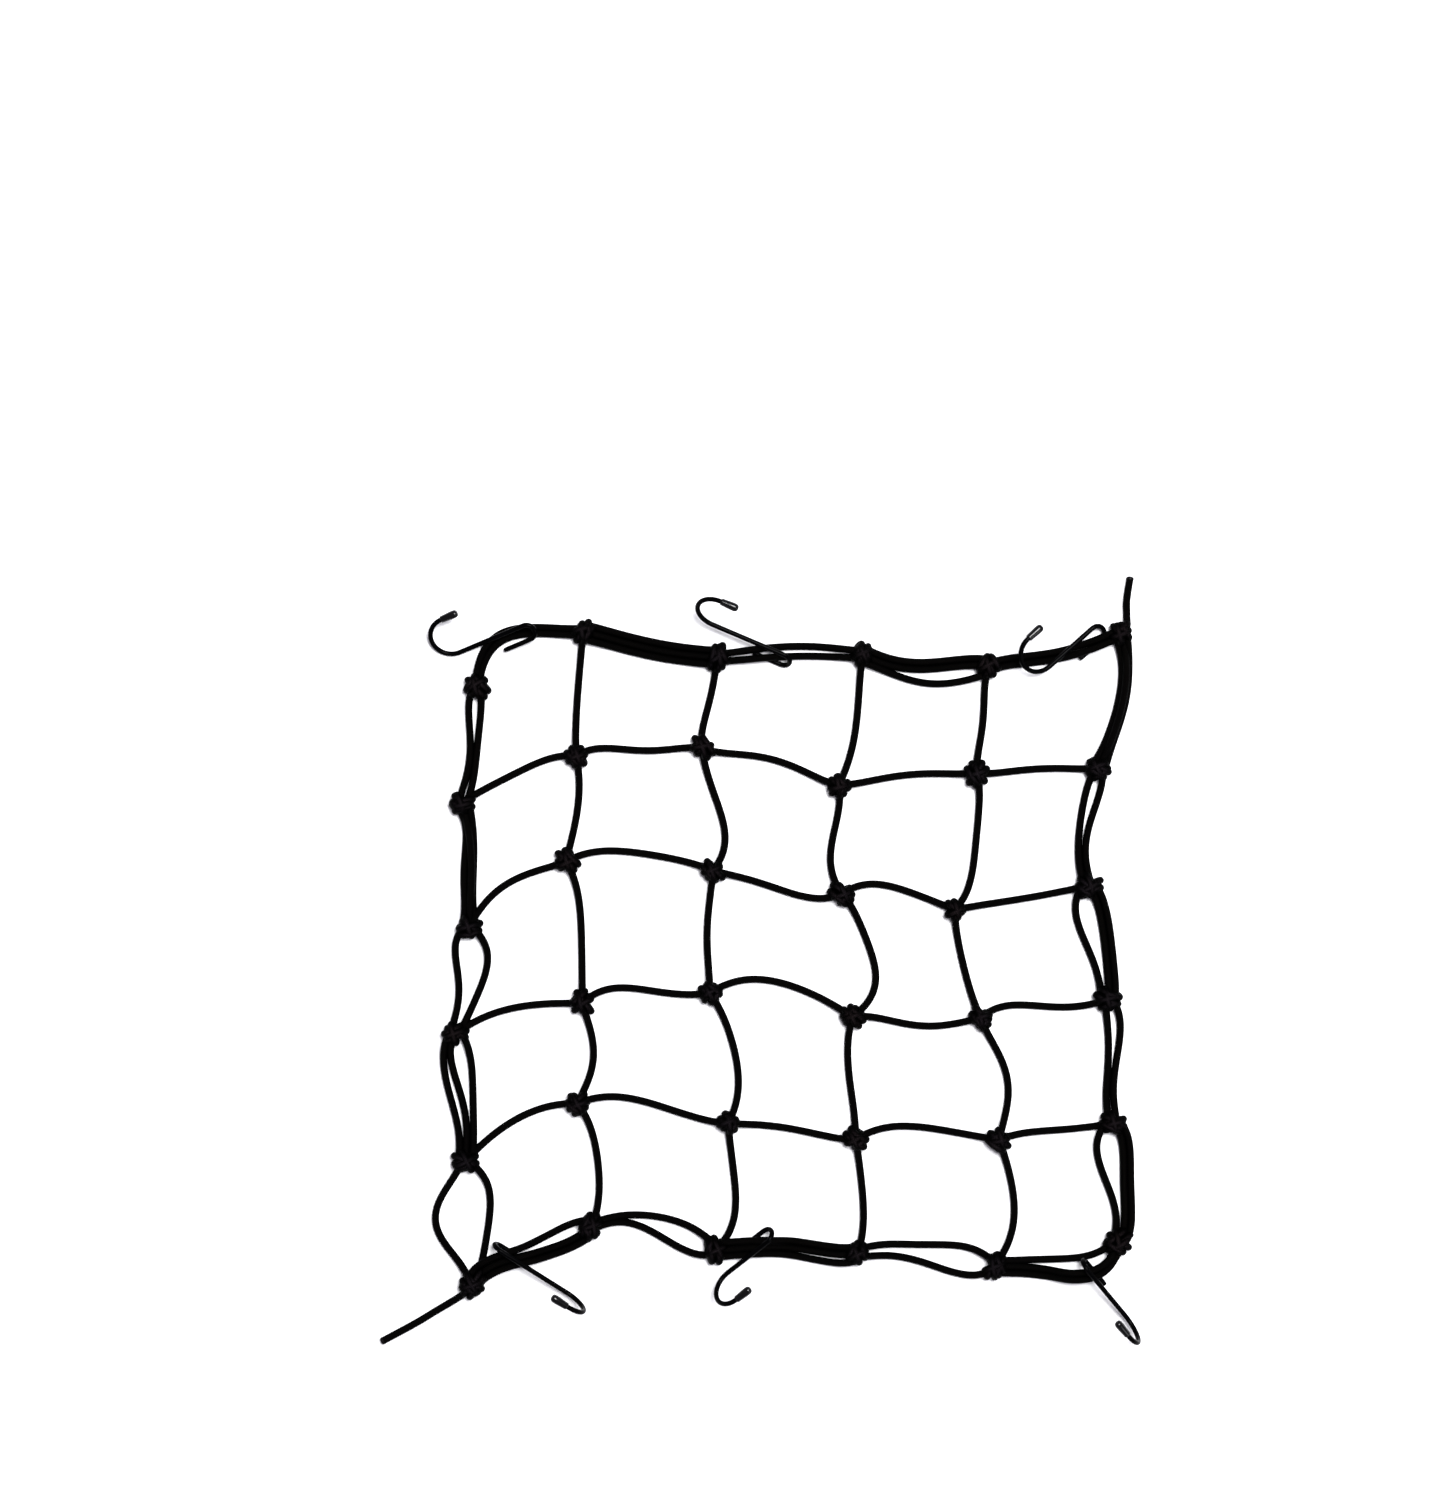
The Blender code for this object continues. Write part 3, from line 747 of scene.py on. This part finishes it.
@dataclass
class LuggageNet:
    """The net: a border cord that runs twice round, a row cord, a column cord and their knots."""

    sweeper: RoundSweep
    cord: Cord = field(default_factory=Cord)
    # a sealed end: mm past the cord's tip, and thickness over the cord's
    bead: tuple[tuple[float, float], ...] = ((-1.2, 1.02), (-0.6, 1.06), (0.0, 1.0), (0.5, 0.78), (0.8, 0.35))

    def inner_courses(self, lines: Sequence[Sequence[Place]], bows: Sequence[Sequence[Bow]],
                      side: Vector) -> list[Course]:
        """Courses of the inner rows or columns, span after span.

        Args:
            lines: the knots of each row or column.
            bows: those of its spans.
            side: the direction in which a bow counts as positive.

        Returns:
            The courses, in mm.
        """
        return [
            self.cord.strand(ends, side, (0.0, *bow, 0.0), self.cord.radius)
            for knots, line_bows in zip(lines, bows) for ends, bow in zip(pairwise(knots), line_bows)
        ]

    def border_courses(self) -> list[Course]:
        """Courses of every strand of the border, side after side.

        Returns:
            The courses, in mm.
        """
        courses = []
        for side, bundles in BUNDLES.items():
            level_side = side in (Side.TOP, Side.BOTTOM)
            way = UP if level_side else RIGHT
            for span, (ends, bundle) in enumerate(zip(pairwise(BORDER_KNOTS[side]), bundles)):
                stacked = STACKED.get((side, span))
                for index, offsets in self.bundle_offsets(bundle, level_side, stacked).items():
                    lift = next((row for row in LIFTS if row[:3] == (side, span, index)), None)
                    level = self.cord.radius + (self.cord.stack_height if index == stacked else 0.0)
                    courses.append(self.cord.strand(ends, way, offsets, level, lift))
        return courses

    def bundle_offsets(self, bundle: Sequence[Bow], descending: bool,
                       stacked: int | None) -> dict[int, list[float]]:
        """Offsets of each strand of a bundle at its five stations, none closer than they can lie.

        Args:
            bundle: the bows of its strands.
            descending: whether the first strand listed is the one with the largest offset.
            stacked: the strand that lies on its neighbours, if any.

        Returns:
            The offsets by strand.
        """
        order = list(range(len(bundle)))
        if descending:
            order.reverse()
        at_knot = self.cord.spread([0.0] * len(order))
        columns = [at_knot]
        for station in range(STATIONS - 2):
            values = [bundle[index][station] for index in order]
            free = [value for index, value in zip(order, values) if index != stacked]
            placed = iter(self.cord.spread(free))
            columns.append([value if index == stacked else next(placed)
                            for index, value in zip(order, values)])
        columns.append(at_knot)
        return {index: [column[place] for column in columns] for place, index in enumerate(order)}

    def tail_courses(self) -> list[Course]:
        """Courses of the two free ends.

        Returns:
            The courses from their knots outwards, in mm.
        """
        courses = []
        for tail in TAILS:
            heights = [self.cord.knot_height, self.cord.knot_height - self.cord.tail_drop]
            heights += [self.cord.radius] * (len(tail) - len(heights))
            points = [Vector((*place, z)) for place, z in zip(tail, heights)]
            courses.append(spline_through(points, self.cord.tail_steps))
        return courses

    def bead_lines(self) -> list[Course]:
        """Lines along the two sealed ends.

        Returns:
            Their points, in metres.
        """
        lines = []
        for course in self.tail_courses():
            tip = to_part(course[-1])
            ahead = (tip - to_part(course[-2])).normalized()
            lines.append([tip + ahead * distance * MM for distance, _ in self.bead])
        return lines

    def bead_thickness(self, share: float) -> float:
        """Thickness of a sealed end over the cord's, at a share of its points."""
        return self.bead[round(share * (len(self.bead) - 1))][1]

    def build(self, sheath: bpy.types.Material, drawn: bpy.types.Material,
              sealed: bpy.types.Material) -> None:
        """Build every cord of the net and hand it over.

        Args:
            sheath: finish of the cord.
            drawn: finish of the cord in the knots, with a painted highlight on the wraps' tops and painted
                shade between them.
            sealed: finish of the sealed ends.
        """
        cord, ties = self.cord, KnotTies()
        rows = self.inner_courses(KNOTS[1:LAST], ROW_BOWS, UP)
        columns = self.inner_courses(KNOT_COLUMNS[1:LAST], COLUMN_BOWS, RIGHT)
        for name, courses, radius, sides, finish in (
            ("border_cord", self.border_courses() + self.tail_courses(), cord.radius, cord.sides, sheath),
            ("row_cord", rows, cord.radius, cord.sides, sheath),
            ("column_cord", columns, cord.radius, cord.sides, sheath),
            ("knot_ties", ties.courses(), ties.cord_radius, ties.sides, drawn),
        ):
            lines = [[to_part(point) for point in course] for course in courses]
            hand_over(self.sweeper.sweep(name, lines, radius * MM, sides, finish, cord.slub),
                      "net")
        piece = self.sweeper.sweep("sealed_ends", self.bead_lines(), cord.radius * MM, cord.sides, sealed,
                                   thickness=self.bead_thickness)
        hand_over(piece, "net")


@dataclass
class KnotTies:
    """The wraps of cord in the knots: standing loops whose knuckles show between the strands. Sizes in mm."""

    cord_radius: float = 2.2
    sides: int = 14
    steps: int = 26
    half_height: float = 3.1
    centre_height: float = 5.45
    bulk: float = 1.1              # of the loops over the lump that the table states
    inner_angles: tuple[float, float] = (45.0, 135.0)    # degrees from +X to the knuckles
    side_angles: tuple[float, float] = (24.0, 156.0)
    edge_angles: tuple[float, float] = (66.0, 114.0)
    rise_step: float = 0.35        # of the second loop over the first
    double_chance: float = 0.8     # share of the loops that go round twice, side by side
    double_length: float = 0.84    # of the second turn over the first
    double_pitch: float = 0.94     # from one turn to the next, over the cord's thickness
    core_length: float = 0.68      # the turns inside the lump, over its length
    core_angles: tuple[float, float] = (20.0, 110.0)
    core_rise: float = 0.9
    # how much a hand-tied knot differs from all that, to either side
    angle_play: float = 13.0
    length_play: float = 0.12
    offset_play: float = 1.3
    core_play: float = 1.0
    slant_play: float = 0.9
    shift_play: float = 0.5

    def courses(self) -> list[Course]:
        """Courses of the cord in all knots.

        Returns:
            The courses, in mm.
        """
        found = []
        for row, looks in enumerate(KNOT_LOOKS):
            for column, look in enumerate(looks):
                found += self.knot(row, column, look)
        return found

    def knot(self, row: int, column: int, look: KnotLook) -> list[Course]:
        """The loops of one knot.

        Args:
            row: of the knot, from the top.
            column: of the knot, from the left.
            look: how it is drawn up.

        Returns:
            Their courses, in mm.
        """
        chance = random.Random(100 * row + column)    # each knot keeps its own seed
        here = Vector((*KNOTS[row][column], self.centre_height))
        at_edge = row in (0, LAST)
        at_side = column in (0, LAST)
        angles = self.inner_angles
        if at_edge != at_side:
            angles = self.edge_angles if at_edge else self.side_angles
        lengths = [look.long * self.bulk, look.wide * self.bulk]
        if look.lie % 180.0 > 90.0:
            lengths.reverse()
        loops = []
        for number, (angle, length) in enumerate(zip(angles, lengths)):
            angle += chance.uniform(-self.angle_play, self.angle_play)
            length *= 1.0 + chance.uniform(-self.length_play, self.length_play)
            half = length / 2.0 - self.cord_radius
            aside = chance.uniform(-self.offset_play, self.offset_play)
            rise = self.rise_step * (number - 0.5)
            loops.append(self.loop(here, angle, half, aside, rise, chance))
            if chance.random() < self.double_chance:
                beside = aside + math.copysign(2.0 * self.cord_radius * self.double_pitch, -aside)
                loops.append(self.loop(here, angle, half * self.double_length, beside, rise, chance))
        for angle in self.core_angles:
            angle += chance.uniform(-self.angle_play, self.angle_play)
            aside = chance.uniform(-self.core_play, self.core_play)
            half = look.long * self.core_length / 2.0
            loops.append(self.loop(here, angle, half, aside, self.core_rise, chance))
        return loops

    def loop(self, here: Vector, angle: float, half: float, aside: float, rise: float,
             chance: random.Random) -> Course:
        """One standing loop of cord round the strands of a knot.

        Args:
            here: the lump's middle.
            angle: degrees from +X to the plane it stands in.
            half: half of its length, to the middle of the cord.
            aside: distance of that plane from the middle.
            rise: height of its middle over the lump's.
            chance: for the unevenness of a knot tied by hand.

        Returns:
            Its points; the last lies on the first.
        """
        along = Vector((math.cos(math.radians(angle)), math.sin(math.radians(angle)), 0.0))
        across = Vector((-along.y, along.x, 0.0))
        slant = chance.uniform(-self.slant_play, self.slant_play)
        shift = chance.uniform(-self.shift_play, self.shift_play)
        points = []
        for i in range(self.steps + 1):
            t = math.tau * i / self.steps
            points.append(here + along * (half * math.cos(t) + shift)
                          + across * (aside + slant * math.sin(t))
                          + Vector((0.0, 0.0, rise + self.half_height * math.sin(t))))
        return points


# ---- hooks and their caps ----


@dataclass
class WireHook:
    """A wire hook: a narrow U that clips on the border, a shank and a wide J with a tip cap. Sizes in mm."""

    row: HookRow
    sweeper: RoundSweep
    wire_radius: float = 1.5
    wire_sides: int = 20
    end_taper: float = 0.86        # of the wire's cut ends, which are dressed
    clip_width: float = 10.0
    clip_leg: float = 17.5
    width: float = 24.0
    tip_leg: float = 11.0
    bend_steps: int = 24
    straight_steps: int = 8
    cap_overhang: float = 2.0      # thickness of the cap's closed end
    fit_gap: float = 0.3           # between the wire's end and the cap
    cap_sides: int = 28
    # outline of the cap: distance from its closed end, radius
    cap_outline: tuple[tuple[float, float], ...] = (
        (0.0, 0.0), (0.03, 0.7), (0.18, 1.3), (0.5, 1.8), (1.05, 2.2), (1.9, 2.43), (3.0, 2.5), (4.5, 2.48),
        (6.5, 2.36), (8.6, 2.22), (10.3, 2.15), (10.8, 2.1), (11.0, 1.98), (10.9, 1.82), (10.4, 1.78),
        (8.0, 1.78), (5.0, 1.78), (2.3, 1.78), (2.0, 1.2), (2.0, 0.0),
    )

    def straight(self, start: float, end: float, y: float) -> Course:
        """Points of a straight stretch along x, its end left out."""
        steps = self.straight_steps
        return [Vector((start + (end - start) * (i / steps), y, 0.0)) for i in range(steps)]

    def bend(self, x: float, y: float, radius: float, way: float) -> Course:
        """Points of half a turn from (x, y) down to (x, y - 2 radius), its end left out.

        Args:
            x: where the bend begins and ends.
            y: where it begins.
            radius: to the middle of the wire.
            way: 1 where it swells towards +x, -1 towards -x.

        Returns:
            The points, in mm.
        """
        angles = [math.pi * i / self.bend_steps for i in range(self.bend_steps)]
        return [Vector((x + way * radius * math.sin(angle), y - radius + radius * math.cos(angle), 0.0))
                for angle in angles]

    def course(self) -> Course:
        """Centre line of the wire in the hook's own plane.

        Returns:
            The points from the U's free end to the J's tip, in mm.
        """
        shank = self.row.shank
        tip = shank - self.tip_leg + self.cap_overhang + self.fit_gap
        return [
            *self.straight(self.clip_leg, 0.0, self.clip_width),
            *self.bend(0.0, self.clip_width, self.clip_width / 2.0, -1.0),
            *self.straight(0.0, shank, 0.0),
            *self.bend(shank, 0.0, self.width / 2.0, 1.0),
            *self.straight(shank, tip, -self.width),
            Vector((tip, -self.width, 0.0)),
        ]

    def pose(self) -> Matrix:
        """How the hook lies, with its lowest point on the floor.

        Returns:
            The matrix from the hook's own plane to the tables' place, in mm.
        """
        lie = Matrix.Translation((self.row.x, self.row.y, 0.0))
        for degrees, axis in ((self.row.turn, "Z"), (self.row.dip, "Y"), (self.row.roll, "X")):
            lie = lie @ Matrix.Rotation(math.radians(degrees), 4, axis)
        placed = [lie @ point for point in self.course()]
        lowest = min(
            point.z - self.wire_radius * math.sqrt(max(1.0 - (after - point).normalized().z ** 2, 0.0))
            for point, after in pairwise(placed)
        )
        return Matrix.Translation((0.0, 0.0, -lowest)) @ lie

    def end_rounding(self, share: float) -> float:
        """Thickness of the wire at a share of its length, over its full one."""
        return self.end_taper if share in (0.0, 1.0) else 1.0

    def turn_cap(self, pose: Matrix) -> bpy.types.Mesh:
        """Turn the cap's outline about the J's free leg.

        Args:
            pose: how the hook lies.

        Returns:
            The cap's mesh.
        """
        mesh = bmesh.new()
        loops = []
        for distance, radius in self.cap_outline:
            ring = []
            for i in range(self.cap_sides if radius > 0.0 else 1):
                angle = math.tau * i / self.cap_sides
                local = Vector((self.row.shank - self.tip_leg + distance,
                                -self.width + radius * math.cos(angle), radius * math.sin(angle)))
                ring.append(mesh.verts.new(to_part(pose @ local)))
            loops.append(ring)
        for near, far in pairwise(loops):
            for i in range(self.cap_sides):
                j = (i + 1) % self.cap_sides
                around = [near[i % len(near)], near[j % len(near)], far[j % len(far)], far[i % len(far)]]
                mesh.faces.new(list(dict.fromkeys(around)))    # a pole's faces have three corners
        bmesh.ops.recalc_face_normals(mesh, faces=mesh.faces[:])
        data = bpy.data.meshes.new("tip_" + self.row.name)
        mesh.to_mesh(data)
        mesh.free()
        data.shade_smooth()
        return data

    def build(self, coat: bpy.types.Material, vinyl: bpy.types.Material) -> None:
        """Build the wire and its cap and hand them over.

        Args:
            coat: finish of the wire.
            vinyl: finish of the cap.
        """
        name, pose = self.row.name, self.pose()
        line = [to_part(pose @ point) for point in self.course()]
        wire = self.sweeper.sweep("wire_" + name, [line], self.wire_radius * MM, self.wire_sides, coat,
                                  thickness=self.end_rounding)
        hand_over(wire, "hook_" + name)
        cap = put_in_scene("tip_" + name, self.turn_cap(pose))
        cap.data.materials.append(vinyl)
        hand_over(cap, "cap_" + name)


# ---- floor, light and camera ----


class SoftBox(NamedTuple):
    """A square area light that faces the part. Sizes in metres, power in watts."""

    name: str
    place: tuple[float, float, float]
    size: float
    power: float
    tint: tuple[float, float, float]


@dataclass
class Studio:
    """A plain white floor, soft light from above and a camera that looks straight down. Sizes in metres."""

    floor_size: float = 8.0
    floor_drop: float = 0.2 * MM   # of the floor below the part, so that their faces don't meet
    floor_colour: str = "#f4f4f6"
    # a large soft box over the upper right of the picture, and a weak one low at its lower right
    lights: tuple[SoftBox, ...] = (
        SoftBox("soft_box", (0.45, 0.65, 2.4), 1.0, 125.0, (1.0, 1.0, 1.0)),
        SoftBox("side_box", (1.6, -1.2, 1.5), 0.9, 10.0, (0.97, 0.98, 1.0)),
    )
    world_colour: tuple[float, float, float, float] = (0.93, 0.88, 1.0, 1.0)
    world_strength: float = 0.26
    view_centre: tuple[float, float] = (-0.0245, 0.1294)
    view_height: float = 0.894     # of the floor in the picture
    distance: float = 1.8
    clip_end: float = 20.0
    sensor: float = 36.0           # mm

    def build(self) -> None:
        """Build the floor, the lights and the camera."""
        self.lay_floor()
        self.hang_lights()
        self.set_camera()

    def lay_floor(self) -> None:
        """A plain matt white floor."""
        half = self.floor_size / 2.0
        square = [(-half, -half), (half, -half), (half, half), (-half, half)]
        mesh = bpy.data.meshes.new("floor")
        mesh.from_pydata([(x, y, -self.floor_drop) for x, y in square], [], [(0, 1, 2, 3)])
        material, shader = Finish(name="matt white board", roughness=0.9, specular=0.1).start()
        fill(shader, Base_Color=srgb(self.floor_colour))
        mesh.materials.append(material)
        put_in_scene("floor", mesh)

    def hang_lights(self) -> None:
        """The soft boxes, and even light from all round."""
        for box in self.lights:
            data = bpy.data.lights.new(box.name, "AREA")
            data.shape = "SQUARE"
            data.size = box.size
            data.energy = box.power
            data.color = box.tint
            lamp = put_in_scene(box.name, data)
            lamp.location = box.place
            lamp.rotation_euler = (-Vector(box.place)).to_track_quat("-Z", "Y").to_euler()
        world = bpy.data.worlds.new("white surroundings")
        world.use_nodes = True
        fill(world.node_tree.nodes["Background"], Color=self.world_colour, Strength=self.world_strength)
        bpy.context.scene.world = world
        bpy.context.scene.view_settings.view_transform = "Standard"

    def set_camera(self) -> None:
        """A camera that looks straight down on the part, framed as in the photograph."""
        data = bpy.data.cameras.new("camera")
        data.sensor_width = self.sensor
        data.lens = self.sensor * self.distance / self.view_height
        data.clip_end = self.clip_end
        camera = put_in_scene("camera", data)
        camera.location = (*self.view_centre, self.distance)
        bpy.context.scene.camera = camera


def main() -> None:
    """Build every piece in order."""
    logging.basicConfig(level=logging.INFO, format="%(name)s %(message)s")
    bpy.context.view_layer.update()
    sweeper = RoundSweep()
    sweeper.build()
    # the knots' sheath carries a painted highlight on the wraps' tops and painted shade between them
    LuggageNet(sweeper).build(BraidedSheath().make(), KnotSheathPaintedLight().make(), MeltedEnd().make())
    coat = PowderCoat().make()
    vinyl = DippedVinyl().make()
    for row in HOOKS:
        WireHook(row, sweeper).build(coat, vinyl)
    Studio().build()


if __name__ == "__main__":
    main()
